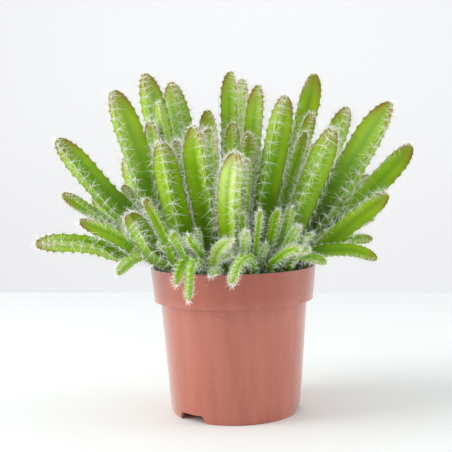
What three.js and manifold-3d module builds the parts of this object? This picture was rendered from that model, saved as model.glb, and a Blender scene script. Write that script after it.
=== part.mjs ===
// Potted dragon fruit plant: a crowd of ribbed cactus stems growing from the soil
// of a round moulded nursery pot. Millimetres, +Z up, origin at the centre of the
// pot's foot, on the surface that the pot stands on. The front of the plant is -Y.
import * as THREE from 'three'
import { mergeVertices } from 'three/addons/utils/BufferGeometryUtils.js'
import Module from 'manifold-3d'

const wasm = await Module()
wasm.setup()

// Driving dimensions of the pot
const rimRadius = 60
const potHeight = 106
const bandHeight = 24
const bandFootRadius = 57.5
const bandStep = 4.2
const baseRadius = 47.2
const wall = 1.4
const footEdge = 1.5
const footWidth = 3
const floorHeight = 6.5
const edgeRound = 1
const lipRound = 0.4
const potSegments = 44

// Notches through the foot and drain holes through the floor
const notchCount = 3
const firstNotch = -132
const notchBottomArc = 32
const notchTopArc = 24
const notchHeight = 5.6
const drainHoleCount = 6
const drainHoleRadius = 4.5
const drainCircle = 30
const drainSegments = 12

// Soil and planting
const gap = 0.3
const soilEdge = 97.5
const soilCrown = 2.5
const plantedDepth = 5

// Stems: girths are shares of the full radius, places are shares of the length
const baseGirth = 0.45
const fullGirthAt = 0.5
const tipRoundness = 1.15
const ribTwist = 14
const thickStem = 12
const valleyDepth = 0.86
const shaftRings = [0, 0.1, 0.26, 0.44, 0.62, 0.8]
const tipRings = [1, 0.5, 0.15]
const leastRingGap = 0.04

// How the crowded stems settle clear of each other and of the rim
const stationCount = 12
const clearance = 1.2
const settleRounds = 260
const pushShare = 0.4
const pushKept = 0.5
const smoothPasses = 3
const rimClearance = 4.8
const rimRise = 1.3

const toRadians = THREE.MathUtils.degToRad
const innerRim = THREE.MathUtils.mapLinear(
  soilEdge, potHeight - bandHeight, potHeight, bandFootRadius, rimRadius) - wall

// A mesh's own shape as a solid: shared corners merged and flat slivers dropped.
function toSolid(geometry) {
  const bare = geometry.clone()
  bare.deleteAttribute('normal')
  bare.deleteAttribute('uv')
  const merged = mergeVertices(bare, 1e-3)
  const corners = []
  const index = merged.index.array
  for (let i = 0; i < index.length; i += 3) {
    const [a, b, c] = index.slice(i, i + 3)
    if (a !== b && b !== c && c !== a) corners.push(a, b, c)
  }
  const vertProperties = new Float32Array(merged.attributes.position.array)
  const triVerts = new Uint32Array(corners)
  return new wasm.Manifold(new wasm.Mesh({ numProp: 3, vertProperties, triVerts }))
}

function toMesh(solid, name, look) {
  const { vertProperties, triVerts } = solid.getMesh()
  const geometry = new THREE.BufferGeometry()
  geometry.setAttribute('position', new THREE.BufferAttribute(vertProperties, 3))
  geometry.setIndex(new THREE.BufferAttribute(triVerts, 1))
  const mesh = new THREE.Mesh(geometry, new THREE.MeshStandardMaterial(look))
  mesh.name = name
  return mesh
}

// A solid turned about the Z axis from [radius, height] corners.
function turned(profile, segments) {
  const points = profile.map(([radius, height]) => new THREE.Vector2(radius, height))
  return toSolid(new THREE.LatheGeometry(points, segments).rotateX(Math.PI / 2))
}

// The wall leans outwards evenly from the foot to the underside of the rim band.
function wallRadius(height) {
  const bandFoot = potHeight - bandHeight
  return THREE.MathUtils.mapLinear(height, 0, bandFoot, baseRadius, bandFootRadius - bandStep)
}

function potProfile() {
  const bandFoot = potHeight - bandHeight
  const floorTop = floorHeight + wall
  return [
    [baseRadius - footWidth, 0],
    [baseRadius - footEdge, 0],
    [wallRadius(footEdge), footEdge],
    [wallRadius(bandFoot), bandFoot],
    [bandFootRadius - edgeRound, bandFoot],
    [bandFootRadius, bandFoot + edgeRound],
    [rimRadius, potHeight - edgeRound],
    [rimRadius - lipRound, potHeight],
    [rimRadius - wall, potHeight],
    [bandFootRadius - wall, bandFoot + wall],
    [wallRadius(bandFoot) - wall, bandFoot + wall / 2],
    [wallRadius(floorTop) - wall, floorTop],
    [0, floorTop],
    [0, floorHeight],
    [baseRadius - footWidth, floorHeight],
    [baseRadius - footWidth, 0],
  ]
}

// One notch: a tapered slot that runs outwards through the foot.
function footNotch(bearing) {
  const halfBottom = baseRadius * Math.sin(toRadians(notchBottomArc / 2))
  const halfTop = baseRadius * Math.sin(toRadians(notchTopArc / 2))
  const slot = new THREE.Shape()
  slot.moveTo(-halfBottom, -1)
  slot.lineTo(halfBottom, -1)
  slot.lineTo(halfTop, notchHeight)
  slot.lineTo(-halfTop, notchHeight)
  slot.closePath()
  const reach = 4 * footWidth
  const geometry = new THREE.ExtrudeGeometry(slot, { depth: reach, bevelEnabled: false })
  geometry.rotateX(Math.PI / 2)
  geometry.rotateZ(Math.PI / 2)
  geometry.translate(baseRadius - 2.5 * footWidth, 0, 0)
  geometry.rotateZ(toRadians(bearing))
  return toSolid(geometry)
}

function drainHole(bearing, radius) {
  const geometry = new THREE.CylinderGeometry(
    drainHoleRadius, drainHoleRadius, 4 * wall, drainSegments)
  geometry.rotateX(Math.PI / 2)
  geometry.translate(radius, 0, floorHeight + wall / 2)
  geometry.rotateZ(toRadians(bearing))
  return toSolid(geometry)
}

function makePot() {
  let pot = turned(potProfile(), potSegments)
  for (let i = 0; i < notchCount; i++) {
    pot = pot.subtract(footNotch(firstNotch + (i * 360) / notchCount))
  }
  for (let i = 0; i < drainHoleCount; i++) {
    pot = pot.subtract(drainHole((i * 360) / drainHoleCount, drainCircle))
  }
  return pot.subtract(drainHole(0, 0))
}

// Soil fills the pot from the floor to just under the rim, a hair clear of the wall.
function makeSoil() {
  const bandFoot = potHeight - bandHeight
  const floorTop = floorHeight + wall + gap
  return turned([
    [0, floorTop],
    [wallRadius(floorTop) - wall - 2 * gap, floorTop],
    [wallRadius(bandFoot) - wall - 2 * gap, bandFoot + wall + gap],
    [bandFootRadius - wall - 3 * gap, bandFoot + wall + 2 * gap],
    [innerRim - 2 * gap, soilEdge],
    [rimRadius / 2, soilEdge + 0.8 * soilCrown],
    [0, soilEdge + soilCrown],
  ], potSegments)
}

// Every stem: where it leaves the soil [x, y], where its tip is [x, y, z], its width
// across the ribs, its bow and its turn. The bow is how far its middle lifts above (or,
// below zero, sags under) the straight line from base to tip. The turn is how far right
// of the front its first rib stands, in degrees.
const clumps = {
  stem_left: [
    [[-34, -10], [-122, -23, 200], 18, -1, -17],
    [[-26, -20], [-80, -36, 232], 21, -4, -26],
    [[-39, 0], [-121, -14, 161], 10, 3, 20],
    [[-34, -17], [-104, -46, 144], 11, 6, 35],
    [[-40, -7], [-135, -42, 128], 13, 11, -7],
    [[-37, 10], [-80, 6, 166], 11, 0, 10],
  ],
  stem_front_left: [
    [[-37, -27], [-69, -62, 148], 15, 3, -7],
    [[-33, -33], [-58, -64, 158], 9, 2, 30],
    [[-25, -27], [-47, -52, 196], 18, -2, -10],
    [[-18, -12], [-38, -20, 198], 11, 0, 15],
  ],
  stem_front: [
    [[-16, -29], [-24, -54, 206], 18, -1, 10],
    [[-9, -20], [-15, -24, 205], 13, 0, 20],
    [[-9, -35], [3, -68, 187], 17, 2, 3],
    [[4, -26], [10, -44, 183], 8, 0, 0],
    [[6, -4], [13, -12, 202], 11, 0, 25],
  ],
  stem_back_left: [
    [[-25, 11], [-63, 24, 249], 20, -2, -22],
    [[-18, 24], [-44, 42, 244], 21, 0, -3],
    [[-27, 1], [-58, 0, 212], 15, 0, 15],
    [[-25, -10], [-68, -16, 184], 12, 0, 40],
    [[-34, 24], [-84, 66, 188], 18, -2, 0],
    [[-41, 14], [-108, 48, 158], 14, 2, 30],
  ],
  stem_back: [
    [[-10, 10], [-16, 14, 220], 16, 0, 30],
    [[0, 28], [2, 44, 251], 15, 0, 15],
    [[9, 37], [11, 62, 247], 13, 0, 0],
    [[7, 16], [23, 30, 239], 15, 0, 11],
    [[-2, 2], [2, 4, 210], 12, 0, 0],
    [[-18, 38], [-38, 78, 200], 16, -2, 20],
    [[15, 45], [22, 84, 194], 15, -2, -20],
    [[-5, 46], [-16, 84, 142], 11, 4, 40],
  ],
  stem_back_right: [
    [[18, 24], [65, 34, 247], 17, -3, 53],
    [[27, 34], [72, 72, 196], 16, -2, 10],
    [[38, 18], [110, 52, 168], 14, 3, 15],
    [[34, 28], [92, 72, 134], 11, 8, 30],
    [[26, 14], [58, 12, 178], 13, 0, 0],
  ],
  stem_right: [
    [[10, -13], [39, -22, 227], 18, 1, -26],
    [[33, 14], [90, 30, 221], 17, 0, -10],
    [[24, -20], [70, -38, 203], 18, 0, -24],
    [[31, -7], [115, -12, 221], 23, -2, 4],
    [[39, 4], [134, 14, 191], 17, 0, 53],
    [[37, -15], [108, -34, 157], 14, 3, 53],
    [[45, 12], [108, 26, 136], 9, 8, 20],
    [[46, -4], [102, -4, 123], 8, 12, 0],
    [[41, -23], [98, -44, 112], 10, 15, 10],
    [[18, -4], [54, -6, 202], 10, 0, 30],
    [[21, 4], [60, 8, 216], 11, 0, 0],
  ],
  shoot_front: [
    [[34, -33], [62, -58, 112], 7, 11, 0],
    [[21, -40], [43, -72, 124], 8, 8, 20],
    [[28, -33], [44, -62, 138], 6.5, 4, 40],
    [[20, -30], [31, -58, 149], 7.5, 1, 10],
    [[13, -35], [18, -64, 149], 6.5, 1, 30],
    [[8, -41], [8, -72, 136], 6.5, 4, 0],
    [[-27, -37], [-40, -70, 136], 6.5, 4, 15],
    [[-20, -39], [-30, -74, 134], 8, 4, 45],
  ],
  shoot_rim: [
    [[-41, -25], [-80, -44, 106], 8.5, 20, 10],
    [[-29, -42], [-38, -77, 102], 6.5, 22, 30],
    [[-22, -45], [-30, -80, 92], 6, 28, 0],
    [[15, -46], [-2, -86, 103], 7, 21, 20],
    [[-15, -46], [-1, -70, 130], 8, 10, 40],
  ],
}

function makeStems() {
  const stems = []
  for (const [clump, list] of Object.entries(clumps)) {
    list.forEach(([base, tip, width, bow, turn], i) => {
      const name = `${clump}_${i + 1}`
      const ribs = width > thickStem ? 3 : 3 + (stems.length % 3)
      const radius = width / widestSpan(ribs)
      stems.push({ name, radius, ribs, turn, path: bentPath(base, tip, bow) })
    })
  }
  return stems
}

// The widest distance between two rib crests, in crest radii.
function widestSpan(ribs) {
  return 2 * Math.sin((Math.floor(ribs / 2) * Math.PI) / ribs)
}

function bentPath([x, y], tipPoint, bow) {
  const base = new THREE.Vector3(x, y, soilEdge - plantedDepth)
  const tip = new THREE.Vector3(...tipPoint)
  const along = tip.clone().sub(base).normalize()
  const lift = new THREE.Vector3(0, 0, 1).addScaledVector(along, -along.z).normalize()
  const middle = base.clone().lerp(tip, 0.5).addScaledVector(lift, 2 * bow)
  const curve = new THREE.QuadraticBezierCurve3(base, middle, tip)
  return curve.getSpacedPoints(stationCount - 1)
}

// Share of a stem's full radius at t along it: narrow at the soil, full from its
// middle, and a rounded tip.
function girth(t, stem) {
  const swell = THREE.MathUtils.lerp(baseGirth, 1, THREE.MathUtils.smoothstep(t, 0, fullGirthAt))
  const tipLength = (tipRoundness * 2 * stem.radius) / stem.length
  const fromTip = Math.min(1, (1 - t) / tipLength)
  return swell * Math.sqrt(1 - (1 - fromTip) ** 2)
}

function pathLength(path) {
  let length = 0
  for (let i = 1; i < path.length; i++) length += path[i].distanceTo(path[i - 1])
  return length
}

// Crowded stems lean out of each other's way, mostly forwards and backwards.
function settle(stems) {
  const yielding = new THREE.Vector3(0.45, 1, 0.15)
  for (let round = 0; round < settleRounds; round++) {
    for (const stem of stems) stem.shift = stem.path.map(() => new THREE.Vector3())
    stems.forEach((one, i) => {
      for (const other of stems.slice(i + 1)) partPair(one, other, yielding)
    })
    for (const stem of stems) applyShift(stem)
    for (const stem of stems) clearRim(stem)
  }
}

// A stem that leans over the rim is lifted clear of it, in a steep rise from the soil.
function clearRim(stem) {
  stem.path.forEach((point, i) => {
    const radius = stem.radii[i] + rimClearance
    const outward = Math.hypot(point.x, point.y)
    const inside = Math.max(0, innerRim - outward)
    const lift = potHeight + radius - rimRise * inside - point.z
    if (i > 0 && lift > 0 && outward < rimRadius + radius) point.z += pushShare * lift
  })
}

function partPair(one, other, yielding) {
  const apart = new THREE.Vector3()
  for (let i = 0; i < stationCount; i++) {
    for (let j = 0; j < stationCount; j++) {
      apart.subVectors(one.path[i], other.path[j])
      const room = one.radii[i] + other.radii[j] + clearance
      const overlap = room - apart.length()
      if (overlap <= 0) continue
      apart.multiply(yielding).normalize().multiplyScalar(overlap * pushShare)
      one.shift[i].add(apart)
      other.shift[j].sub(apart)
    }
  }
}

// A push spreads along the stem, so that it bends smoothly and never kinks.
function applyShift(stem) {
  const { path, shift } = stem
  const last = stationCount - 1
  for (let pass = 0; pass < smoothPasses; pass++) {
    const before = shift.map((push) => push.clone())
    for (let i = 0; i <= last; i++) {
      const near = before[Math.max(0, i - 1)].clone().add(before[Math.min(last, i + 1)])
      shift[i].copy(before[i]).multiplyScalar(pushKept).addScaledVector(near, (1 - pushKept) / 2)
    }
  }
  shift[0].multiplyScalar(0.5).z = 0
  path.forEach((point, i) => point.add(shift[i]))
}

// A ribbed bar along the stem's path. Its section is a star of crests and valleys.
function stemSolid(stem, extra) {
  const stops = [...shaftRings]
  const tipLength = (tipRoundness * 2 * stem.radius) / stem.length
  for (const share of tipRings) {
    const stop = 1 - share * tipLength
    if (stop > stops.at(-1) + leastRingGap) stops.push(stop)
  }
  const profile = [new THREE.Vector2(0, 0)]
  for (const stop of stops) profile.push(new THREE.Vector2(girth(stop, stem) * stem.radius, stop))
  profile.push(new THREE.Vector2(0, 1))
  const geometry = new THREE.LatheGeometry(profile, 2 * stem.ribs)
  const curve = new THREE.CatmullRomCurve3(stem.path)
  const front = new THREE.Vector3(0, -1, 0)
  const position = geometry.attributes.position
  for (let i = 0; i < position.count; i++) {
    const t = position.getY(i)
    const radius = Math.hypot(position.getX(i), position.getZ(i))
    const angle = Math.atan2(position.getX(i), position.getZ(i))
    const along = curve.getTangentAt(t)
    const side = new THREE.Vector3().crossVectors(along, front).normalize()
    const face = new THREE.Vector3().crossVectors(side, along)
    const step = Math.round((angle * stem.ribs) / Math.PI)
    const valley = Math.abs(step) % 2 === 1
    const depth = valley ? valleyShare(stem.ribs) : 1
    const turn = angle + toRadians(stem.turn + ribTwist * t)
    const reach = radius > 1e-6 ? radius * depth + extra : 0
    const point = curve.getPointAt(t)
    if (extra > 0 && radius <= 1e-6) point.addScaledVector(along, t > 0.5 ? extra : -extra)
    point.addScaledVector(face, reach * Math.cos(turn))
    point.addScaledVector(side, reach * Math.sin(turn))
    position.setXYZ(i, point.x, point.y, point.z)
  }
  return toSolid(geometry)
}

// How deep the valley between two ribs lies, as a share of the crest's radius.
function valleyShare(ribs) {
  return Math.cos(Math.PI / ribs) * valleyDepth
}

const potLook = { color: 0xb96d5a, roughness: 0.45, metalness: 0 }
const soilLook = { color: 0x2a221c, roughness: 1, metalness: 0 }
const stemLook = { color: 0x6fa321, roughness: 0.5, metalness: 0 }

const stems = makeStems()
for (const stem of stems) {
  stem.length = pathLength(stem.path)
  stem.radii = stem.path.map((_, i) => girth(i / (stationCount - 1), stem) * stem.radius)
}
settle(stems)

const group = new THREE.Group()
let soil = makeSoil()
for (const stem of stems) {
  soil = soil.subtract(stemSolid(stem, gap))
  group.add(toMesh(stemSolid(stem, 0), stem.name, stemLook))
}
group.add(toMesh(makePot(), 'pot', potLook))
group.add(toMesh(soil, 'soil', soilLook))

export default group
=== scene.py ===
import math

import bmesh
import bpy
import numpy as np
from mathutils import Matrix, Vector, noise


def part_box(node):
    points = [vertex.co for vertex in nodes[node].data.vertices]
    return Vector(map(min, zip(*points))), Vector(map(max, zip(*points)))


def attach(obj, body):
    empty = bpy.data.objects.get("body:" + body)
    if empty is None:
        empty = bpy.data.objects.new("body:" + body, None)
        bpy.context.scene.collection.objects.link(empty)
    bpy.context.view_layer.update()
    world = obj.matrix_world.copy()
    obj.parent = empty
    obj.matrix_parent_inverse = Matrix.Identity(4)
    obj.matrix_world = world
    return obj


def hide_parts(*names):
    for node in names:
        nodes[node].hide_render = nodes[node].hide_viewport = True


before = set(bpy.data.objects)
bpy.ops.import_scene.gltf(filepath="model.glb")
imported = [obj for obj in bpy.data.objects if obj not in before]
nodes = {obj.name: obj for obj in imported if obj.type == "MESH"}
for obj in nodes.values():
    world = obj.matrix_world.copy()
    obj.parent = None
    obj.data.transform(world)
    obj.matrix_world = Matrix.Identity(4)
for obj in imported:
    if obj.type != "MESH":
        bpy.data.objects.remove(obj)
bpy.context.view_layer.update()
mm = 0.001


def linear(hexColour):  # sRGB hex to the linear colour that shaders take
    channels = [int(hexColour[i:i + 2], 16) / 255 for i in (1, 3, 5)]
    curve = [c / 12.92 if c <= 0.04045 else ((c + 0.055) / 1.055) ** 2.4 for c in channels]
    return (*curve, 1.0)


def addNode(tree, kind, settings=None, inputs=None, stops=None):
    node = tree.nodes.new("ShaderNode" + kind)
    for name, value in (settings or {}).items():
        setattr(node, name, value)
    for name, value in (inputs or {}).items():
        if isinstance(value, bpy.types.NodeSocket):
            tree.links.new(value, node.inputs[name])
        else:
            node.inputs[name].default_value = value
    for i, (place, colour) in enumerate(stops or []):
        bands = node.color_ramp.elements
        band = bands[i] if i < 2 else bands.new(place)
        band.position = place
        band.color = linear(colour)
    return node


def newMaterial(name):
    material = bpy.data.materials.new(name)
    material.use_nodes = True
    material.node_tree.nodes.clear()
    return material, material.node_tree


def finishMaterial(tree, shader):
    output = tree.nodes.new("ShaderNodeOutputMaterial")
    tree.links.new(shader.outputs["BSDF"], output.inputs["Surface"])


def meshFrom(name, bm):
    mesh = bpy.data.meshes.new(name)
    bm.to_mesh(mesh)
    bm.free()
    return mesh


def linkObject(name, data):
    thing = bpy.data.objects.new(name, data)
    bpy.context.scene.collection.objects.link(thing)
    return thing


def makePiece(name, bm, material, replaced=()):
    return placePiece(name, meshFrom(name, bm), material, replaced)


def placePiece(name, mesh, material, replaced=(), smooth=True):
    if smooth:
        mesh.shade_smooth()
    mesh.materials.append(material)
    piece = linkObject(name, mesh)
    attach(piece, "root")
    if replaced:
        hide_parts(*replaced)
    return piece


# Camera, table, wall and lights

studio = {
    "cameraDistance": 650, "cameraHeight": 179, "cameraSide": -4.55,  # mm from the pot's axis and the table
    "lookDown": 3.9, "roll": -1.26, "lens": 71.2,  # degrees, and mm
    "tableEdge": 600, "wallBehind": 1500, "reach": 3500, "edgeSkew": -0.155,  # mm, and a slope
    "tableColour": "#f8fbfa", "wallColour": "#f1f1f2", "wallGlow": 0.23,
    "patchesPerMetre": 3, "patchShade": 0.97, "matt": 0.7,  # paint of the table and wall
    "skyColour": (0.97, 0.98, 1.0, 1.0), "skyStrength": 0.58,
    "keyPlace": (-1000, -180, 720), "rimPlace": (1000, -60, 560), "lightAim": (0, 0, 120),  # mm
    "keyPower": 12, "rimPower": 5,  # watts
    "sideBox": (700, 1300),  # mm, width and height of each softbox
}


def makeCamera():
    data = bpy.data.cameras.new("camera")
    data.lens = studio["lens"]
    camera = linkObject("camera", data)
    place = Vector((studio["cameraSide"], -studio["cameraDistance"], studio["cameraHeight"]))
    look = Matrix.Rotation(math.radians(90 - studio["lookDown"]), 4, "X")
    roll = Matrix.Rotation(math.radians(studio["roll"]), 4, "Z")
    camera.matrix_world = Matrix.Translation(place * mm) @ look @ roll
    bpy.context.scene.camera = camera


def plainMaterial(name, colour, glow=0.0):  # matt painted board, faintly uneven
    material, tree = newMaterial(name)
    where = addNode(tree, "TexCoord")
    patches = addNode(tree, "TexNoise", inputs={
        "Vector": where.outputs["Object"], "Scale": studio["patchesPerMetre"]})
    tone = linear(colour)
    tint = addNode(tree, "ValToRGB", inputs={"Fac": patches.outputs["Fac"]})
    tint.color_ramp.elements[0].color = [c * studio["patchShade"] for c in tone[:3]] + [1]
    tint.color_ramp.elements[1].color = tone
    shader = addNode(tree, "BsdfPrincipled", inputs={
        "Base Color": tint.outputs["Color"], "Roughness": studio["matt"], "Specular IOR Level": 0.3,
        "Emission Color": tone, "Emission Strength": glow})
    finishMaterial(tree, shader)
    return material


def makeSheet(name, farEdge, material, standing=False):
    # A flat sheet up to farEdge, which runs a little askew; standing turns it up into a wall.
    bm = bmesh.new()
    bmesh.ops.create_grid(bm, x_segments=1, y_segments=1, size=studio["reach"])
    if standing:
        bmesh.ops.rotate(bm, verts=bm.verts, matrix=Matrix.Rotation(math.pi / 2, 3, "X"))
    middle = farEdge if standing else farEdge - studio["reach"]
    bmesh.ops.translate(bm, verts=bm.verts, vec=(0, middle, 0))
    for vert in bm.verts:
        vert.co.y += studio["edgeSkew"] * vert.co.x
    bmesh.ops.scale(bm, verts=bm.verts, vec=(mm, mm, mm))
    mesh = meshFrom(name, bm)
    mesh.materials.append(material)
    sheet = linkObject(name, mesh)


def addSoftbox(name, place, power):
    data = bpy.data.lights.new(name, "AREA")
    data.shape = "RECTANGLE"
    data.size, data.size_y = (side * mm for side in studio["sideBox"])
    data.energy = power
    light = linkObject(name, data)
    light.location = Vector(place) * mm
    aim = Vector(studio["lightAim"]) * mm - light.location
    light.rotation_euler = aim.to_track_quat("-Z", "Y").to_euler()


def makeStudio():
    makeSheet("table", studio["tableEdge"], plainMaterial("paintedBoard", studio["tableColour"]))
    backdrop = plainMaterial("litBackdrop", studio["wallColour"], studio["wallGlow"])
    makeSheet("wall", studio["wallBehind"], backdrop, standing=True)
    world = bpy.data.worlds.new("softSky")
    world.use_nodes = True
    sky = world.node_tree.nodes["Background"]
    sky.inputs["Color"].default_value = studio["skyColour"]
    sky.inputs["Strength"].default_value = studio["skyStrength"]
    bpy.context.scene.world = world
    addSoftbox("keyLeft", studio["keyPlace"], studio["keyPower"])
    addSoftbox("rimRight", studio["rimPlace"], studio["rimPower"])
    bpy.context.scene.view_settings.view_transform = "Standard"


# Moulded polypropylene pot

pot = {
    "bandHeight": 24, "bandFoot": 57.5, "underBand": 53.3, "foot": 47.2,  # mm; the last three are radii
    "lip": (0.35, 1.2), "footBevel": (0.9, 2),  # mm, out and up at the foot of the band; in and up below
    "wall": 1.4, "footWidth": 3, "floorHeight": 6.5,  # mm
    "around": 176, "edgeRound": 0.5, "sharpOver": 35,  # faces; mm; degrees of an edge that gets rounded
    "notchBearings": (-132, -12, 108), "notchBottom": 32, "notchTop": 24,  # degrees
    "notchHeight": 5.6, "notchClear": 1,  # mm above and below the foot
    "drainHoles": 6, "drainRadius": 4.5, "drainCircle": 30,  # mm
    # band is painted shade: the deeper red of the rim band stands for the shade the foliage casts on it
    # deep is the dark of the flow streaks, which are partly painted reflection streaks
    "colour": "#c47460", "dusty": "#cf927f", "deep": "#b4604c", "band": "#a64a36",
    "streak": 9, "speck": 2.2, "peel": 1.4, "peelDepth": 0.3,  # mm
    "bandShadeFade": (-0.5, 6), "bandShadeStrength": 0.5,  # painted shade on the rim band under the foliage: mm from the foot of the band, and how much it darkens the band
}


def mouldedPlastic():  # injection-moulded polypropylene: even satin colour, faint flow streaks that partly paint in vertical reflection streaks, scuffs, and painted shade on the rim band
    material, tree = newMaterial("mouldedPolypropylene")
    where = addNode(tree, "TexCoord")
    stretched = addNode(tree, "Mapping", inputs={
        "Vector": where.outputs["Object"], "Scale": (1, 1, 0.15)})  # drawn out up the wall
    # flow streaks and painted reflection: darker and lighter vertical streaks that also stand for
    # reflections running down the satin wall
    flowAndReflectionStreaks = addNode(tree, "TexNoise", inputs={
        "Vector": stretched.outputs["Vector"], "Scale": 1 / (pot["streak"] * mm), "Detail": 4})
    tint = addNode(tree, "ValToRGB", inputs={"Fac": flowAndReflectionStreaks.outputs["Fac"]},
                   stops=[(0.2, pot["deep"]), (0.8, pot["colour"])])
    specks = addNode(tree, "TexNoise", inputs={
        "Vector": where.outputs["Object"], "Scale": 1 / (pot["speck"] * mm), "Detail": 2})
    dust = addNode(tree, "ValToRGB", inputs={"Fac": specks.outputs["Fac"]},
                   stops=[(0.66, "#000000"), (0.82, "#ffffff")])
    split = addNode(tree, "SeparateXYZ", inputs={"Vector": where.outputs["Object"]})
    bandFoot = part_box("pot")[1].z - pot["bandHeight"] * mm
    fadeFrom, fadeTo = pot["bandShadeFade"]
    # painted shade: the rim band is darkened from its foot upwards
    bandShadeMask = addNode(tree, "MapRange", inputs={
        "Value": split.outputs["Z"], "From Min": bandFoot + fadeFrom * mm,
        "From Max": bandFoot + fadeTo * mm, "To Min": 0.0, "To Max": pot["bandShadeStrength"]})
    bandShaded = addNode(tree, "Mix", {"data_type": "RGBA"}, {
        0: bandShadeMask.outputs["Result"], 6: tint.outputs["Color"], 7: linear(pot["band"])})
    colour = addNode(tree, "Mix", {"data_type": "RGBA"}, {
        0: dust.outputs["Color"], 6: bandShaded.outputs[2], 7: linear(pot["dusty"])})
    roughness = addNode(tree, "MapRange", inputs={
        "Value": flowAndReflectionStreaks.outputs["Fac"], "To Min": 0.26, "To Max": 0.36})
    orangePeel = addNode(tree, "TexNoise", inputs={
        "Vector": where.outputs["Object"], "Scale": 1 / (pot["peel"] * mm), "Detail": 3})
    bump = addNode(tree, "Bump", inputs={
        "Height": orangePeel.outputs["Fac"], "Strength": 0.2, "Distance": pot["peelDepth"] * mm})
    shader = addNode(tree, "BsdfPrincipled", inputs={
        "Base Color": colour.outputs[2], "Roughness": roughness.outputs["Result"],
        "IOR": 1.49, "Normal": bump.outputs["Normal"],
        "Sheen Weight": 0.6, "Sheen Roughness": 0.3, "Coat Weight": 0.6, "Coat Roughness": 0.16,
        "Subsurface Weight": 0.08, "Subsurface Scale": 2 * mm})
    finishMaterial(tree, shader)
    return material


def potProfile(rim, height):
    # Radius and height in mm, from the middle of the floor over the rim and round underneath.
    wall = pot["wall"]
    bandFoot = height - pot["bandHeight"]
    lean = (pot["underBand"] - pot["foot"]) / bandFoot
    floorTop = pot["floorHeight"] + wall
    inside = pot["foot"] + lean * floorTop - wall
    ring = pot["foot"] - pot["footWidth"]
    lipOut, lipRise = pot["lip"]
    bevelIn, bevelRise = pot["footBevel"]
    return [
        (0, floorTop), (inside, floorTop), (pot["underBand"] - wall, bandFoot + wall / 2),
        (pot["bandFoot"] - wall, bandFoot + wall), (rim - wall, height), (rim, height),
        (rim, height - lipRise), (pot["bandFoot"] + lipOut, bandFoot + lipRise),
        (pot["bandFoot"] + lipOut, bandFoot), (pot["underBand"], bandFoot),
        (pot["foot"] + lean * bevelRise, bevelRise), (pot["foot"] - bevelIn, 0), (ring, 0),
        (ring, pot["floorHeight"]), (0, pot["floorHeight"]),
    ]


def cutAway(piece, cutters):
    for cutter in cutters:
        cut = piece.modifiers.new("cut", "BOOLEAN")
        cut.object = cutter
        cut.operation = "DIFFERENCE"
        cut.solver = "EXACT"
    graph = bpy.context.evaluated_depsgraph_get()
    shape = bpy.data.meshes.new_from_object(piece.evaluated_get(graph))
    piece.modifiers.clear()
    piece.data = shape
    for cutter in cutters:
        bpy.data.objects.remove(cutter)


def notchCutter(bearing):
    bm = bmesh.new()
    bmesh.ops.create_cube(bm, size=1)
    for vert in bm.verts:
        arc = pot["notchTop"] if vert.co.z > 0 else pot["notchBottom"]
        half = pot["foot"] * math.sin(math.radians(arc / 2))
        vert.co.y *= 2 * half
        vert.co.x = pot["foot"] + vert.co.x * 4 * pot["footWidth"]
        vert.co.z = pot["notchHeight"] if vert.co.z > 0 else -pot["notchClear"]
    bmesh.ops.scale(bm, vec=(mm, mm, mm), verts=bm.verts)
    bmesh.ops.rotate(bm, verts=bm.verts, matrix=Matrix.Rotation(math.radians(bearing), 3, "Z"))
    return linkObject("cutter", meshFrom("cutter", bm))


def drainCutter(bearing, out):
    bm = bmesh.new()
    radius = pot["drainRadius"] * mm
    bmesh.ops.create_cone(bm, cap_ends=True, segments=40, radius1=radius, radius2=radius,
                          depth=4 * pot["wall"] * mm)
    middle = pot["floorHeight"] + pot["wall"] / 2
    bmesh.ops.translate(bm, verts=bm.verts, vec=(out * mm, 0, middle * mm))
    bmesh.ops.rotate(bm, verts=bm.verts, matrix=Matrix.Rotation(math.radians(bearing), 3, "Z"))
    return linkObject("cutter", meshFrom("cutter", bm))


def makePot():
    low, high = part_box("pot")
    bm = bmesh.new()
    points = [bm.verts.new((r * mm, 0, low.z + z * mm))
              for r, z in potProfile(high.x / mm, (high.z - low.z) / mm)]
    edges = [bm.edges.new(pair) for pair in zip(points, points[1:])]
    bmesh.ops.spin(bm, geom=points + edges, cent=(0, 0, 0), axis=(0, 0, 1),
                   angle=math.tau, steps=pot["around"], use_merge=True)
    bmesh.ops.remove_doubles(bm, verts=bm.verts, dist=1e-6)
    bmesh.ops.recalc_face_normals(bm, faces=bm.faces)
    piece = makePiece("nursery_pot", bm, mouldedPlastic(), ["pot"])
    cutters = [notchCutter(bearing) for bearing in pot["notchBearings"]]
    cutters += [drainCutter(i * 360 / pot["drainHoles"], pot["drainCircle"])
                for i in range(pot["drainHoles"])]
    cutters.append(drainCutter(0, 0))  # the one in the middle
    cutAway(piece, cutters)
    rounding = piece.modifiers.new("rounding", "BEVEL")
    rounding.width = pot["edgeRound"] * mm
    rounding.segments = 3
    rounding.limit_method = "ANGLE"
    rounding.angle_limit = math.radians(pot["sharpOver"])
    rounding.harden_normals = True


# Peat potting soil

soil = {
    "rough": 1.6, "lump": 9, "rimDrop": 2.5, "wallGap": 0.9,  # mm; it lies lower at the wall
    "rings": 60, "around": 150,  # faces of the surface
    "crumbs": 1500, "crumbSize": (0.5, 1.9), "crumbMargin": 2,  # mm, the last from the edge of the soil
    "crumbShape": (0.4, 1.0), "seed": 4,  # shares of the size that its three sides may have
    "dark": "#17110c", "mid": "#2b2017", "fibre": "#4a382a", "clod": 3, "clodDepth": 1.2,  # mm
}


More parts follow.
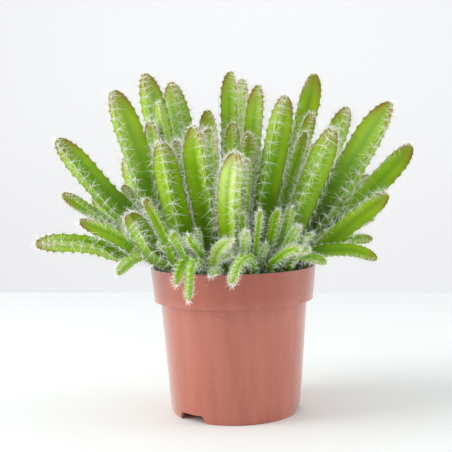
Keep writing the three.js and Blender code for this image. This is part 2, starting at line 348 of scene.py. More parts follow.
def peat():  # damp peat and bark fines: near black, matt, with paler fibres
    material, tree = newMaterial("pottingPeat")
    where = addNode(tree, "TexCoord")
    clods = addNode(tree, "TexNoise", inputs={
        "Vector": where.outputs["Object"], "Scale": 1 / (soil["clod"] * mm), "Detail": 6})
    tint = addNode(tree, "ValToRGB", inputs={"Fac": clods.outputs["Fac"]},
                   stops=[(0.35, soil["dark"]), (0.6, soil["mid"]), (0.78, soil["fibre"])])
    bump = addNode(tree, "Bump", inputs={
        "Height": clods.outputs["Fac"], "Strength": 0.8, "Distance": soil["clodDepth"] * mm})
    shader = addNode(tree, "BsdfPrincipled", inputs={
        "Base Color": tint.outputs["Color"], "Roughness": 0.92, "Normal": bump.outputs["Normal"]})
    finishMaterial(tree, shader)
    return material


def soilLift(x, y):
    place = Vector((x, y, 0)) / mm
    lumps = noise.fractal(place / soil["lump"], 1, 2, 5)  # five layers, each half the size of the last
    return (lumps * soil["rough"] + soil["rough"] / 2) * mm


def makeSoil():
    low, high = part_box("soil")
    edge, crown = high.x, high.z
    rimDrop = soil["rimDrop"] * mm
    bm = bmesh.new()
    step = edge / soil["rings"]
    points = [bm.verts.new((i * step, 0, crown - rimDrop * (i / soil["rings"]) ** 2))
              for i in range(soil["rings"] + 1)]
    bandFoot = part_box("pot")[1].z - pot["bandHeight"] * mm
    inset = (pot["wall"] + soil["wallGap"]) * mm
    lean = (pot["underBand"] - pot["foot"]) * mm / bandFoot
    below = [(pot["bandFoot"] * mm - inset, bandFoot + pot["wall"] * mm),
             (pot["underBand"] * mm - inset, bandFoot),
             (pot["foot"] * mm + lean * low.z - inset, low.z), (0, low.z)]
    points += [bm.verts.new((out, 0, height)) for out, height in below]
    edges = [bm.edges.new(pair) for pair in zip(points, points[1:])]
    bmesh.ops.spin(bm, geom=points + edges, cent=(0, 0, 0), axis=(0, 0, 1),
                   angle=math.tau, steps=soil["around"], use_merge=True)
    bmesh.ops.remove_doubles(bm, verts=bm.verts, dist=1e-6)
    bmesh.ops.recalc_face_normals(bm, faces=bm.faces)
    for vert in bm.verts:
        if vert.co.z > crown - 2 * rimDrop:
            vert.co.z += soilLift(vert.co.x, vert.co.y) - soil["rough"] * mm
    earth = peat()
    makePiece("soil_surface", bm, earth, ["soil"])
    scatterCrumbs(earth, edge, crown, rimDrop)


def scatterCrumbs(material, edge, crown, rimDrop):
    chance = np.random.default_rng(soil["seed"])
    bm = bmesh.new()
    bmesh.ops.create_icosphere(bm, subdivisions=1, radius=1)
    count = soil["crumbs"]
    out = np.sqrt(chance.random(count)) * (edge - soil["crumbMargin"] * mm)
    turn = chance.random(count) * math.tau
    size = chance.uniform(*soil["crumbSize"], count) * mm * chance.random(count) ** 0.6  # many small
    rise = [soilLift(r * math.cos(a), r * math.sin(a)) for r, a in zip(out, turn)]
    height = crown - rimDrop * (out / edge) ** 2 + np.array(rise) - soil["rough"] * mm
    places = np.stack([out * np.cos(turn), out * np.sin(turn), height], -1)
    axes = chance.normal(size=(count, 3, 3))
    axes /= np.linalg.norm(axes, axis=2, keepdims=True)
    axes *= (size[:, None] * chance.uniform(*soil["crumbShape"], (count, 3)))[:, :, None]
    mesh = copyShape("soil_crumbs", bm, places, axes)
    placePiece("soil_crumbs", mesh, material, smooth=False)


def copyShape(name, bm, places, axes, bends=None):
    # Copies one small shape to every place. axes holds the three sides of each copy, and bends how far
    # its tip is carried aside.
    bmesh.ops.triangulate(bm, faces=bm.faces)
    shape = np.array([v.co for v in bm.verts])
    faces = np.array([[v.index for v in f.verts] for f in bm.faces])
    bm.free()
    axes = np.where(np.linalg.det(axes)[:, None, None] < 0, axes * [[1], [1], [-1]], axes)
    spots = places[:, None] + shape @ axes
    if bends is not None:
        spots = spots + (shape[:, 2] ** 2)[None, :, None] * bends[:, None]
    count = len(places)
    index = faces[None] + (np.arange(count) * len(shape))[:, None, None]
    mesh = bpy.data.meshes.new(name)
    mesh.from_pydata(spots.reshape(-1, 3), [], index.reshape(-1, 3))
    if bends is not None:
        along = np.tile(shape[:, 2], count)
        values = mesh.attributes.new("along", "FLOAT", "POINT")
        values.data.foreach_set("value", along.astype(np.float32))
        layer = mesh.uv_layers.new(name="OFBake")
        corner = np.array([[0, 0], [1, 0], [0.5, 1]])  # every copy shares the strip
        strip = np.tile(corner, (len(index.reshape(-1, 3)), 1))
        strip[:, 1] = along[index.reshape(-1)]
        layer.uv.foreach_set("vector", strip.astype(np.float32).ravel())
    return mesh


# Ribbed stems

stems = {
    "ringStep": 1.4, "fewestRings": 12, "perHalfRib": 5,  # mm; faces from a crest to its valley
    "valley": {3: 0.38, 4: 0.54, 5: 0.66},  # by number of ribs, as shares of the radius
    "crestRound": 0.98, "crestSpread": 1.7,  # a blunt crest, and faces crowded towards it
    "faceHollow": 0.1, "fullGirthAt": 0.5,  # shares of the radius, and of the way up
    "tipRoundness": 1.25, "tipPoint": 0.56,  # length of the tip in widths, and how blunt it is
    "tipRings": 1.12,  # rings crowd towards the tip
    "youngBelow": 12.5,  # mm wide; thinner stems count as young
    "areoleGap": 7.2, "youngAreoleGap": 4.2, "firstAreole": 1.2,  # mm, and mm under the tip
    "tipCrowding": (0.38, 26),  # share of the gap at the tip, and mm over which it grows by a whole gap
    "bareFoot": 26, "youngBareFoot": 15,  # mm without areoles, at and under the soil
    "tooth": 0.8, "fullToothRadius": 8,  # mm; thinner stems have smaller teeth
    "toothSpan": 0.42, "toothPoint": 1.5, "toothNarrow": 3.5,  # share of a gap, sharpness, narrowness
    "toneSpread": 0.07, "seed": 11,
}

skin = {
    # valley is painted shade: a darker green laid along the crease between the ribs
    "low": "#244a04", "mid": "#84b004", "high": "#a6cc0c", "pale": "#d8f088", "valley": "#649600",
    "margin": "#84491f", "tip": "#8f5e2a", "youngMargin": 0.35,  # share of the brown on young skin
    "youngLow": "#4a7c12", "youngMid": "#92c41c", "youngHigh": "#b0d838", "youngPale": "#dcee98",
    "stops": (0.06, 0.34, 0.62, 1.0),  # where low, mid, high and pale lie on the ramp, which runs up the stem: the dark low end is painted shade deep in the clump, the rise to high is partly the paler new growth, and pale is painted light on lit faces
    "climbs": 0.62, "patchSway": 0.16,  # how far up the ramp a stem gets, and patches either way
    "patch": 14, "speckle": 1.8, "speckleDepth": 0.3, "fleshDepth": 2.5,  # mm
    # Stems that are paler than the rest, or darker; the large lift on stem_front_3 paints in the light on
    # its lit face
    "tones": {"stem_front_3": 0.36, "stem_front_1": 0.1, "stem_left_5": 0.08, "stem_right_1": 0.08,
              "stem_front_left_3": 0.08, "shoot_rim_5": 0.3, "stem_right_3": -0.06},
}

skinLayers = ("crest", "reach", "tone", "tooth")  # nearness to a crest, height up the stem, tint, tooth


def waxySkin(name, colours, marginShare):
    # Living cactus skin: a thin waxy bloom over green flesh, brown and hard on the rib edges, with painted
    # shade in the valleys and towards the foot, and painted light on the palest stems.
    material, tree = newMaterial(name)
    where = addNode(tree, "TexCoord")
    crest, reach, tone, tooth = (
        addNode(tree, "Attribute", {"attribute_name": layer}) for layer in skinLayers)
    patches = addNode(tree, "TexNoise", inputs={
        "Vector": where.outputs["Object"], "Scale": 1 / (skin["patch"] * mm), "Detail": 3})
    sway = addNode(tree, "MapRange", inputs={
        "Value": patches.outputs["Fac"], "From Min": 0.25, "From Max": 0.75,
        "To Min": -skin["patchSway"], "To Max": skin["patchSway"]})
    climb = addNode(tree, "Math", {"operation": "ADD"}, {
        0: reach.outputs["Fac"], 1: sway.outputs["Result"]})
    shade = addNode(tree, "Math", {"operation": "MULTIPLY_ADD"}, {
        0: climb.outputs["Value"], 1: skin["climbs"], 2: tone.outputs["Fac"]})
    # painted light and shade: the green darkens towards the foot, where the clump shades it, and turns pale
    # where a stem's tone lifts it, as on a lit face
    fleshAndPaintedShading = addNode(tree, "ValToRGB", inputs={"Fac": shade.outputs["Value"]},
                    stops=list(zip(skin["stops"], colours)))
    # painted shade: the valleys between the ribs are darkened, as the crease shades them
    valleyShadeMask = addNode(tree, "MapRange", inputs={
        "Value": crest.outputs["Fac"], "From Min": 0.0, "From Max": 0.5, "To Min": 0.6, "To Max": 0.0})
    valleyShaded = addNode(tree, "Mix", {"data_type": "RGBA"}, {
        0: valleyShadeMask.outputs["Result"], 6: fleshAndPaintedShading.outputs["Color"], 7: linear(skin["valley"])})
    speckle = addNode(tree, "TexNoise", inputs={
        "Vector": where.outputs["Object"], "Scale": 1 / (skin["speckle"] * mm), "Detail": 3})
    edge = addNode(tree, "MapRange", inputs={
        "Value": crest.outputs["Fac"], "From Min": 0.76, "From Max": 0.95})
    ripe = addNode(tree, "MapRange", inputs={  # near the tip the whole edge is brown
        "Value": climb.outputs["Value"], "From Min": 0.6, "From Max": 1.05})
    hardening = addNode(tree, "MapRange", inputs={  # lower down only the teeth are
        "Value": climb.outputs["Value"], "From Min": 0.25, "From Max": 0.8, "To Min": 0.1})
    hardTooth = addNode(tree, "Math", {"operation": "MULTIPLY"}, {
        0: tooth.outputs["Fac"], 1: hardening.outputs["Result"]})
    spotted = addNode(tree, "Math", {"operation": "MAXIMUM"}, {
        0: ripe.outputs["Result"], 1: hardTooth.outputs["Value"]})
    broken = addNode(tree, "MapRange", inputs={
        "Value": speckle.outputs["Fac"], "From Min": 0.3, "From Max": 0.6, "To Max": marginShare})
    browned = addNode(tree, "Math", {"operation": "MULTIPLY"}, {
        0: edge.outputs["Result"], 1: spotted.outputs["Value"]})
    margin = addNode(tree, "Math", {"operation": "MULTIPLY"}, {
        0: browned.outputs["Value"], 1: broken.outputs["Result"]})
    edged = addNode(tree, "Mix", {"data_type": "RGBA"}, {
        0: margin.outputs["Value"], 6: valleyShaded.outputs[2], 7: linear(skin["margin"])})
    crown = addNode(tree, "MapRange", inputs={
        "Value": reach.outputs["Fac"], "From Min": 0.86, "From Max": 0.99, "To Max": marginShare})
    ridge = addNode(tree, "MapRange", inputs={
        "Value": crest.outputs["Fac"], "From Min": 0.1, "From Max": 0.85, "To Min": 0.25})
    blush = addNode(tree, "Math", {"operation": "MULTIPLY"}, {
        0: crown.outputs["Result"], 1: ridge.outputs["Result"]})
    capped = addNode(tree, "Mix", {"data_type": "RGBA"}, {
        0: blush.outputs["Value"], 6: edged.outputs[2], 7: linear(skin["tip"])})
    roughness = addNode(tree, "MapRange", inputs={
        "Value": speckle.outputs["Fac"], "To Min": 0.42, "To Max": 0.58})
    bump = addNode(tree, "Bump", inputs={
        "Height": speckle.outputs["Fac"], "Strength": 0.25, "Distance": skin["speckleDepth"] * mm})
    shader = addNode(tree, "BsdfPrincipled", inputs={
        "Base Color": capped.outputs[2], "Roughness": roughness.outputs["Result"],
        "IOR": 1.45, "Specular IOR Level": 0.36, "Normal": bump.outputs["Normal"],
        "Subsurface Weight": 0.2, "Subsurface Radius": (0.35, 1.0, 0.12),
        "Subsurface Scale": skin["fleshDepth"] * mm})
    finishMaterial(tree, shader)
    return material


def cadRings(node):
    # A CAD stem is a point, a stack of rings and a point: walking out from the foot finds each ring.
    bm = bmesh.new()
    bm.from_mesh(node.data)
    bmesh.ops.remove_doubles(bm, verts=bm.verts, dist=1e-5)
    bm.verts.ensure_lookup_table()
    near = {v: [e.other_vert(v) for e in v.link_edges] for v in bm.verts}

    def bulge(v):  # the foot is the flat end
        middle = sum((n.co for n in near[v]), Vector()) / len(near[v])
        return (middle - v.co).length

    foot = min(bm.verts, key=bulge)
    rings, seen = [[foot]], {foot}
    while True:
        ring = []
        for v in rings[-1]:
            for n in near[v]:
                if n not in seen:
                    seen.add(n)
                    ring.append(n)
        if not ring:
            break
        rings.append(ring)
    rings = [np.array([v.co for v in ring]) for ring in rings]
    bm.free()
    return rings


def growthLine(rings):
    # Centre line, crest direction and full radius of one CAD stem.
    centres = [ring.mean(axis=0) for ring in rings]
    body = rings[1:-1]
    crests, last = [], None
    for ring, centre in zip(body, centres[1:-1]):
        arms = ring - centre
        length = np.linalg.norm(arms, axis=1)
        tall = arms[length > 0.9 * length.max()]  # the crests, not the valleys
        tall /= np.linalg.norm(tall, axis=1, keepdims=True)
        last = tall[0] if last is None else tall[(tall @ last).argmax()]
        crests.append(last)
    radii = [np.linalg.norm(ring - c, axis=1).max() for ring, c in zip(body, centres[1:-1])]
    line = np.array(centres[1:])
    crests.append(crests[-1])
    return {"line": line, "crest": np.array(crests), "radius": max(radii),
            "footShare": radii[0] / max(radii), "ribs": len(body[0]) // 2}


def smoothLine(points, at, line):
    # A curve through the points, read at shares of the length of the line they belong to.
    step = np.linalg.norm(np.diff(line, axis=0), axis=1)
    where = np.concatenate([[0], np.cumsum(step)])
    slope = np.gradient(points, where, axis=0)
    at = np.clip(at, 0, 1) * where[-1]
    i = np.clip(np.searchsorted(where, at, side="right") - 1, 0, len(step) - 1)
    h = step[i][:, None]
    t = ((at - where[i]) / step[i])[:, None]
    a, b = points[i], points[i + 1]
    return ((2 * t**3 - 3 * t**2 + 1) * a + (t**3 - 2 * t**2 + t) * h * slope[i]
            + (3 * t**2 - 2 * t**3) * b + (t**3 - t**2) * h * slope[i + 1])


def unit(v):
    return v / np.linalg.norm(v, axis=-1, keepdims=True)


def girth(t, stem):  # share of the full radius: it swells from the foot and closes in a round tip
    rise = np.clip(t / stems["fullGirthAt"], 0, 1)
    swell = stem["footShare"] + (1 - stem["footShare"]) * rise * rise * (3 - 2 * rise)
    tipLength = stems["tipRoundness"] * 2 * stem["radius"] / stem["length"]
    fromTip = np.clip((1 - t) / tipLength, 0, 1)
    return swell * np.clip(1 - (1 - fromTip) ** 2, 0, 1) ** stems["tipPoint"]


def frameAlong(stem, t):
    centres = stem["line"]
    near = 0.004  # share of the length
    line = smoothLine(centres, t, centres)
    along = unit(smoothLine(centres, t + near, centres) - smoothLine(centres, t - near, centres))
    crest = smoothLine(stem["crest"], t, centres)
    crest = unit(crest - (crest * along).sum(-1, keepdims=True) * along)
    return line, along, crest, np.cross(along, crest)


def areoleStations(stem):
    # Shares of the length that carry areoles, closer together towards the tip.
    bare = stems["youngBareFoot"] if stem["young"] else stems["bareFoot"]
    atTip, growsOver = stems["tipCrowding"]
    stations, fromTip = [], stems["firstAreole"]
    while stem["length"] / mm - fromTip > bare:
        stations.append(1 - fromTip * mm / stem["length"])
        fromTip += stem["gap"] * min(1, atTip + fromTip / growsOver)
    return np.array(stations[::-1])


def toothHeight(t, stem, offset):
    shifted = np.clip(t + offset * stem["gapShare"], 0, 1)
    nearest = np.abs(shifted[..., None] - stem["stations"]).min(axis=-1)
    share = np.clip(1 - nearest / (stems["toothSpan"] * stem["gapShare"]), 0, 1)
    size = min(1, stem["radius"] / (stems["fullToothRadius"] * mm))
    return stems["tooth"] * mm * share ** stems["toothPoint"] * size


def ribOffset(rib):
    return 0.5 * (rib % 2)  # areoles on neighbouring ribs alternate


def skinPoint(stem, t, rib, share):
    # share runs from 0 on the crest of the rib to 1 in the valley after it, -1 before it.
    line, _, crest, side = frameAlong(stem, t)
    ribs = stem["ribs"]
    valley = stems["valley"][ribs]
    turn = math.tau * rib / ribs
    half = math.pi / ribs * np.sign(share)
    part = np.abs(share)
    bow = 1 - stems["faceHollow"] * np.sin(math.pi * np.clip(part, 0, 1))
    onCrest = np.where(part < 0.02, stems["crestRound"], 1.0)
    reach = girth(t, stem) * (stem["radius"] - stems["tooth"] / 2 * mm) * onCrest * bow
    tooth = toothHeight(t, stem, ribOffset(rib)) * np.clip(1 - part * stems["toothNarrow"], 0, 1)
    x = (1 - part + part * valley * np.cos(half)) * reach + tooth
    y = part * valley * np.sin(half) * reach
    c, s = np.cos(turn), np.sin(turn)
    u, v = x * c - y * s, x * s + y * c
    return line + u[..., None] * crest + v[..., None] * side


def prepareStem(stem, name, chance):
    # Adds what the skin, the areoles and the spines of a stem are worked out from.
    stem["name"] = name
    stem["length"] = np.linalg.norm(np.diff(stem["line"], axis=0), axis=1).sum()
    stem["young"] = name.startswith("shoot_") or stem["radius"] * 2 < stems["youngBelow"] * mm
    spread = stems["toneSpread"]
    stem["tone"] = chance.uniform(-spread, spread) + skin["tones"].get(name, 0)
    stem["gap"] = stems["youngAreoleGap"] if stem["young"] else stems["areoleGap"]
    stem["gapShare"] = stem["gap"] * mm / stem["length"]
    stem["stations"] = areoleStations(stem)
    return stem


def makeStem(stem, material, replaced=()):
    # A flat grid is rolled round the centre line. Column 0 meets the last one and is merged with it.
    ribs, parts = stem["ribs"], stems["perHalfRib"]
    around = 2 * ribs * parts
    rings = max(stems["fewestRings"], round(stem["length"] / (stems["ringStep"] * mm)))
    bm = bmesh.new()
    bm.loops.layers.uv.new("OFBake")
    bmesh.ops.create_grid(bm, x_segments=around, y_segments=rings, size=0.5, calc_uvs=True)
    grid = np.array([v.co for v in bm.verts])
    column = np.rint((grid[:, 0] + 0.5) * around).astype(int) % around
    row = np.rint((grid[:, 1] + 0.5) * rings).astype(int)
    t = ringShares(rings)[row]
    rib = ((column + parts) // (2 * parts)) % ribs
    share = spreadShare(((column + parts) % (2 * parts) - parts) / parts)
    places = skinPoint(stem, t, rib, share)
    line = smoothLine(stem["line"], t, stem["line"])
    places = np.where((row == 0)[:, None], line, places)
    for vert, place in zip(bm.verts, places):
        vert.co = place
    tooth = toothHeight(t, stem, ribOffset(rib)) / (stems["tooth"] * mm)
    tone = np.full(len(t), stem["tone"])
    layers = [bm.verts.layers.float.new(layer) for layer in skinLayers]
    for vert, *values in zip(bm.verts, 1 - np.abs(share), t, tone, tooth):
        for layer, value in zip(layers, values):
            vert[layer] = value
    bmesh.ops.remove_doubles(bm, verts=bm.verts, dist=1e-6)
    bmesh.ops.recalc_face_normals(bm, faces=bm.faces)
    makePiece(stem["name"] + "_skin", bm, material, replaced)


def spreadShare(share):
    return np.sign(share) * np.abs(share) ** stems["crestSpread"]  # more faces near the crest


def ringShares(rings):
    # Rings 0 and 1 are the flat foot; the rings crowd together towards the round tip.
    t = 1 - (1 - np.linspace(0, 1, rings)) ** stems["tipRings"]
    return np.concatenate([[0], t])


# Areoles: a felt pad on each tooth, with a star of white spines

spines = {
    "radial": 12, "central": 1, "youngRadial": 5,  # per areole
    "length": (3.5, 9), "youngLength": (1.8, 4.2), "centralLength": (1.5, 3.5),  # mm
    "lean": (1.15, 1.5), "centralLean": (0.5, 1.1),  # radians from straight out
    "uneven": 0.4,  # share of the gap between two spines of a star
    "sideways": 1.7,  # how much more they spread across the faces than along the rib
    "footLength": 0.45, "fullLengthAt": 0.6,  # shares of the full length, and of the way up the stem
    "rootOut": 0.25,  # mm from the middle of the areole
    "thick": 0.2, "youngThick": 0.18,  # mm; the real hairs are a third of that, and wouldn't show
    "thickSpread": (0.6, 1.6), "point": 0.32,  # shares of that, and of the foot's width
    "curl": 0.22, "sag": 0.06, "jitter": 0.1,  # shares of the length
    # Hairs of loose wool near the ribs: most on one young shoot and on the stems in the sheltered middle
    "fleece": {"shoot_rim_5": 280, "stem_front_3": 220, "stem_back_left_3": 140,
               "stem_back_left_4": 140, "stem_front_left_4": 150, "stem_front_2": 90,
               "stem_front_5": 120, "stem_back_5": 120, "stem_right_11": 110,
               "stem_back_right_5": 110, "stem_right_10": 90},
    "fleeceElsewhere": 60, "fleeceLength": (2, 5),  # mm
    "fleeceHeight": (0.3, 0.99),  # shares of the way up the stem
    "fleeceUpwards": 0.4, "fleeceMess": 0.35,  # how far its hairs turn from straight out
    "fleeceSpread": 0.14, "youngSpread": 4,  # share of half a rib, and how much wider on a young stem
    "crown": 22, "crownLength": (2, 4.5), "crownLean": (0.1, 1.2),  # the tuft on the tip
    "crownWidth": 0.3, "crownSunk": 0.4,  # share of the stem's radius, and mm
    "pad": (0.75, 0.9, 0.5), "youngPad": 0.55,  # half sizes in mm across, along and out; share when young
    "turnsUpFrom": 0.93,  # share of the way up, where the areoles start to face the tip
    "perPiece": 12000, "seed": 23,  # spines to a piece, so that none has too many faces
    "root": "#efe9d6", "hair": "#fdfdfb", "felt": "#f0eadb", "feltFold": "#9a8262", "fold": 0.8,  # mm
    "glow": 0.11,  # painted glow: the spines give off a little white light so they stay bright in shade; thin dead spines pass light through, which these solid cones don't
}


def spineHair():  # dry keratin-like spine: ivory at the root, white and slightly glassy above, with a painted glow
    material, tree = newMaterial("drySpine")
    along = addNode(tree, "Attribute", {"attribute_name": "along"})
    tint = addNode(tree, "ValToRGB", inputs={"Fac": along.outputs["Fac"]},
                   stops=[(0.0, spines["root"]), (0.25, spines["hair"])])
    # painted glow: a faint white emission keeps the spines bright where they stand in shade
    shader = addNode(tree, "BsdfPrincipled", inputs={
        "Base Color": tint.outputs["Color"], "Roughness": 0.5, "IOR": 1.5,
        "Emission Color": linear(spines["hair"]), "Emission Strength": spines["glow"]})
    finishMaterial(tree, shader)
    return material


def areoleFelt():  # short creamy wool, darker in its folds
    material, tree = newMaterial("areoleFelt")
    where = addNode(tree, "TexCoord")
    folds = addNode(tree, "TexNoise", inputs={
        "Vector": where.outputs["Object"], "Scale": 1 / (spines["fold"] * mm), "Detail": 2})
    tint = addNode(tree, "ValToRGB", inputs={"Fac": folds.outputs["Fac"]},
                   stops=[(0.3, spines["feltFold"]), (0.6, spines["felt"])])
    shader = addNode(tree, "BsdfPrincipled", inputs={
        "Base Color": tint.outputs["Color"], "Roughness": 0.95})
    finishMaterial(tree, shader)
    return material


def areolesOn(stem):
    # Place, outward, upward and side direction, and share of the height, of every areole of a stem.
    found = []
    for rib in range(stem["ribs"]):
        t = stem["stations"] - ribOffset(rib) * stem["gapShare"]
        t = t[t > 0.04]  # none in the foot
        place = skinPoint(stem, t, rib, np.zeros(len(t)))
        line, along, _, _ = frameAlong(stem, t)
        out = place - line
        out = unit(out - (out * along).sum(-1, keepdims=True) * along)
        found.append((place, out, along, t))
    place, out, along, t = (np.concatenate(x) for x in zip(*found))
    turnsUp = spines["turnsUpFrom"]
    tipward = np.clip((t - turnsUp) / (1 - turnsUp), 0, 1)[:, None]
    out = unit(out * (1 - 0.6 * tipward) + along * tipward)
    side = unit(np.cross(along, out))
    return place, out, np.cross(out, side), side, t


def between(a, b, turn):  # directions that lie this far round from a towards b
    return np.cos(turn)[:, None] * a + np.sin(turn)[:, None] * b


def spinesOn(stem, chance):
    # Roots, directions, lengths and thicknesses of all the spines and hairs of one stem.
    groups = starsOn(stem, chance) + [crownOn(stem, chance), fleeceOn(stem, chance)]
    roots, ways, sizes = (np.concatenate(group) for group in zip(*groups))
    thick = spines["youngThick"] if stem["young"] else spines["thick"]
    return roots, ways, sizes * mm, np.full(len(sizes), thick) * mm


def starsOn(stem, chance):
    # One group for each spine of the star, with that spine of every areole.
    place, out, up, side, t = areolesOn(stem)
    grown = spines["footLength"] + (1 - spines["footLength"]) * np.clip(t / spines["fullLengthAt"], 0, 1)
    radial = spines["youngRadial"] if stem["young"] else spines["radial"]
    lengths = spines["youngLength"] if stem["young"] else spines["length"]
    uneven, count = spines["uneven"], len(place)
    groups = []
    for i in range(radial + spines["central"]):
        central = i >= radial
        turn = math.tau * (i + chance.uniform(-uneven, uneven, count)) / radial
        lean = chance.uniform(*spines["centralLean" if central else "lean"], count)
        flat = unit(between(spines["sideways"] * side, up, turn))
        sizes = chance.uniform(*(spines["centralLength"] if central else lengths), count) * grown
        groups.append((place + flat * spines["rootOut"] * mm, between(out, flat, lean), sizes))
    return groups


def crownOn(stem, chance):
    count = spines["crown"]
    almost = np.array([0.995])  # just under the tip
    tip, along, crest, cross = (x[0] for x in frameAlong(stem, almost))
    turn = chance.random(count) * math.tau
    lean = chance.uniform(*spines["crownLean"], count)
    flat = between(crest, cross, turn)
    spread = stem["radius"] * spines["crownWidth"] * chance.random(count)
    roots = tip + flat * spread[:, None] - along * spines["crownSunk"] * mm
    return roots, between(along, flat, lean), chance.uniform(*spines["crownLength"], count)


def fleeceOn(stem, chance):
    count = spines["fleece"].get(stem["name"], 0 if stem["young"] else spines["fleeceElsewhere"])
    t = chance.uniform(*spines["fleeceHeight"], count)
    rib = chance.integers(0, stem["ribs"], count)
    spread = spines["fleeceSpread"] * (spines["youngSpread"] if stem["young"] else 1)
    share = np.clip(chance.normal(0, spread, count), -1, 1)
    place = skinPoint(stem, t, rib, share)
    line, along, _, _ = frameAlong(stem, t)
    mess = chance.normal(0, spines["fleeceMess"], (count, 3))
    way = unit(unit(place - line) + spines["fleeceUpwards"] * along + mess)
    return place, way, chance.uniform(*spines["fleeceLength"], count)


def makeSpines(allStems):
    chance = np.random.default_rng(spines["seed"])
    parts = [spinesOn(stem, chance) for stem in allStems]
    roots, ways, sizes, thick = (np.concatenate(x) for x in zip(*parts))
    ways = unit(ways + chance.normal(0, spines["jitter"], ways.shape))
    other = unit(np.cross(ways, unit(chance.normal(size=ways.shape))))
    third = np.cross(ways, other)
    width = (thick * chance.uniform(*spines["thickSpread"], len(thick)))[:, None]
    axes = np.stack([other * width, third * width, ways * sizes[:, None]], 1)
    curl = chance.uniform(-spines["curl"], spines["curl"], len(sizes))
    bends = (other + third) * (sizes * curl)[:, None]
    bends[:, 2] -= sizes * spines["sag"]
    hair = spineHair()
    step = spines["perPiece"]
    for number, start in enumerate(range(0, len(roots), step), 1):
        part = slice(start, start + step)
        bm = bmesh.new()
        bmesh.ops.create_cone(bm, cap_ends=True, segments=3, radius1=0.5,
                              radius2=spines["point"] / 2, depth=1)
        bmesh.ops.translate(bm, verts=bm.verts, vec=(0, 0, 0.5))
        whole = bm.verts[:] + bm.edges[:] + bm.faces[:]  # cut half way up, so that it can curl
        bmesh.ops.bisect_plane(bm, geom=whole, plane_co=(0, 0, 0.5), plane_no=(0, 0, 1))
        bm.verts.index_update()
        mesh = copyShape(f"spines_{number}", bm, roots[part], axes[part], bends[part])
        placePiece(f"spines_{number}", mesh, hair, smooth=False)
    print("spines", len(roots))


def makeAreoles(allStems):
    found = [areolesOn(stem) for stem in allStems]
    place, out, up, side, _ = (np.concatenate(x) for x in zip(*found))
    size = np.concatenate([np.full(len(areoles[0]), spines["youngPad"] if stem["young"] else 1.0)
                           for areoles, stem in zip(found, allStems)])[:, None] * mm
    bm = bmesh.new()
    bmesh.ops.create_icosphere(bm, subdivisions=1, radius=1)
    axes = np.stack([way * size * half for way, half in zip((side, up, out), spines["pad"])], 1)
    mesh = copyShape("areole_pads", bm, place, axes)
    placePiece("areole_pads", mesh, areoleFelt())
    print("areoles", len(place))


# Seedlings too small and too many for nodes of their own

seedlings = {
    # Foot and tip from the pot's axis and the table, width, bow upwards in mm, and turn in degrees
    "front": [
        [(-7, -50), (-16, -68, 107), 5.5, 8, 0],
        [(-12, -50), (-1, -62, 119), 5.5, 9, 20],
        [(-21, -40), (-24, -56, 137), 5.5, 1, 10],
        [(9, -38), (7, -54, 147), 6, 1, 30],
        [(40, -30), (54, -46, 131), 6, 8, 0],
        [(43, -26), (48, -50, 128), 6.5, 9, 20],
        [(36, -36), (50, -62, 122), 6, 8, 10],
        [(42, -16), (78, -22, 134), 6, 8, 15],
        [(-30, 0), (-52, 4, 226), 11, 0, 5],
        [(16, -36), (22, -54, 126), 6, 3, 5],
        [(-30, -34), (-50, -58, 128), 6.5, 6, 5],
        [(1, -34), (0, -50, 124), 6, 2, 35],
        [(30, -26), (40, -44, 150), 7, 1, 0],
    ],
    "back": {"count": 26, "from": 8, "to": 172,  # degrees round from the right
             "foot": (24, 47), "reach": (10, 30), "rise": (24, 92), "lean": 0.25,
             "clear": 9,  # mm above the rim, at least
             "width": (6, 11), "bow": 5, "turn": (0, 90), "seed": 5},
    "rootDepth": 5, "footShare": 0.5, "ribs": (3, 6), "linePoints": 9,
}


def bentLine(foot, tip, bow):
    # Rises from the soil to its tip, bowed upwards by bow at its middle.
    foot = np.array((*foot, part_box("soil")[1].z / mm - seedlings["rootDepth"]), float)
    tip = np.array(tip, float)
    along = unit(tip - foot)
    upwards = unit(np.array((0.0, 0.0, 1.0)) - along[2] * along)
    middle = (foot + tip) / 2 + upwards * 2 * bow
    t = np.linspace(0, 1, seedlings["linePoints"])[:, None]
    return ((1 - t) ** 2 * foot + 2 * t * (1 - t) * middle + t**2 * tip) * mm


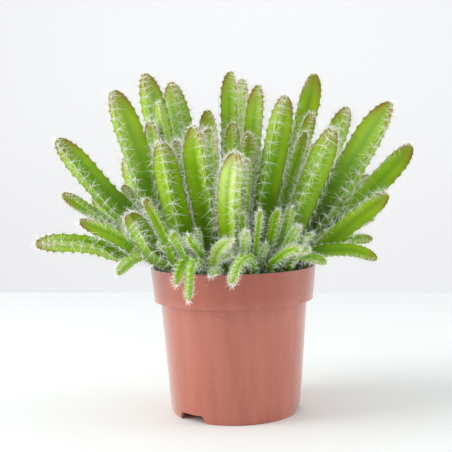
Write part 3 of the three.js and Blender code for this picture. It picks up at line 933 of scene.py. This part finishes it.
def plantSeedling(name, row, chance):
    foot, tip, width, bow, turn = row
    line = bentLine(foot, tip, bow)
    along = unit(np.gradient(line, axis=0))
    front = np.array((0.0, -1.0, 0.0))
    side = unit(np.cross(along, front))
    face = np.cross(side, along)
    turn = math.radians(turn)
    crest = face * math.cos(turn) + side * math.sin(turn)
    stem = {"line": line, "crest": crest, "radius": width / 2 * mm,
            "footShare": seedlings["footShare"], "ribs": int(chance.integers(*seedlings["ribs"]))}
    return prepareStem(stem, name, chance)


def backRow(number, rule, chance):
    # Bearings run evenly round the back; how far out, how high and how thick each one is varies.
    share = (number + 0.5) / rule["count"]
    bearing = math.radians(rule["from"] + share * (rule["to"] - rule["from"]))
    out = chance.uniform(*rule["foot"])
    rise = chance.uniform(*rule["rise"])
    reach = out + chance.uniform(*rule["reach"]) + rule["lean"] * rise
    height = max(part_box("pot")[1].z / mm + rule["clear"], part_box("soil")[1].z / mm + rise)
    x, y = math.cos(bearing), math.sin(bearing)
    return [(out * x, out * y), (reach * x, reach * y, height),
            chance.uniform(*rule["width"]), rule["bow"], chance.uniform(*rule["turn"])]


def makeSeedlings(material):
    rule = seedlings["back"]
    chance = np.random.default_rng(rule["seed"])
    rows = seedlings["front"] + [backRow(i, rule, chance) for i in range(rule["count"])]
    grown = []
    for i, row in enumerate(rows, 1):
        stem = plantSeedling(f"seedling_{i}", row, chance)
        makeStem(stem, material)
        grown.append(stem)
    return grown


def makeStems():
    chance = np.random.default_rng(stems["seed"])
    grown = waxySkin("waxyStemSkin", [skin[k] for k in ("low", "mid", "high", "pale")], 1.0)
    young = waxySkin("waxyShootSkin",
                     [skin[k] for k in ("youngLow", "youngMid", "youngHigh", "youngPale")],
                     skin["youngMargin"])
    allStems = []
    for name in sorted(nodes):
        if not name.startswith(("stem_", "shoot_")):
            continue
        stem = prepareStem(growthLine(cadRings(nodes[name])), name, chance)
        isShoot = name.startswith("shoot_")
        makeStem(stem, young if isShoot else grown,
                 [name])
        allStems.append(stem)
    return allStems + makeSeedlings(young)


makeCamera()
makeStudio()
print("studio ready")
makePot()
print("pot ready")
makeSoil()
print("soil ready")
allStems = makeStems()
print("stems ready", len(allStems))
makeAreoles(allStems)
makeSpines(allStems)
print("spines ready")
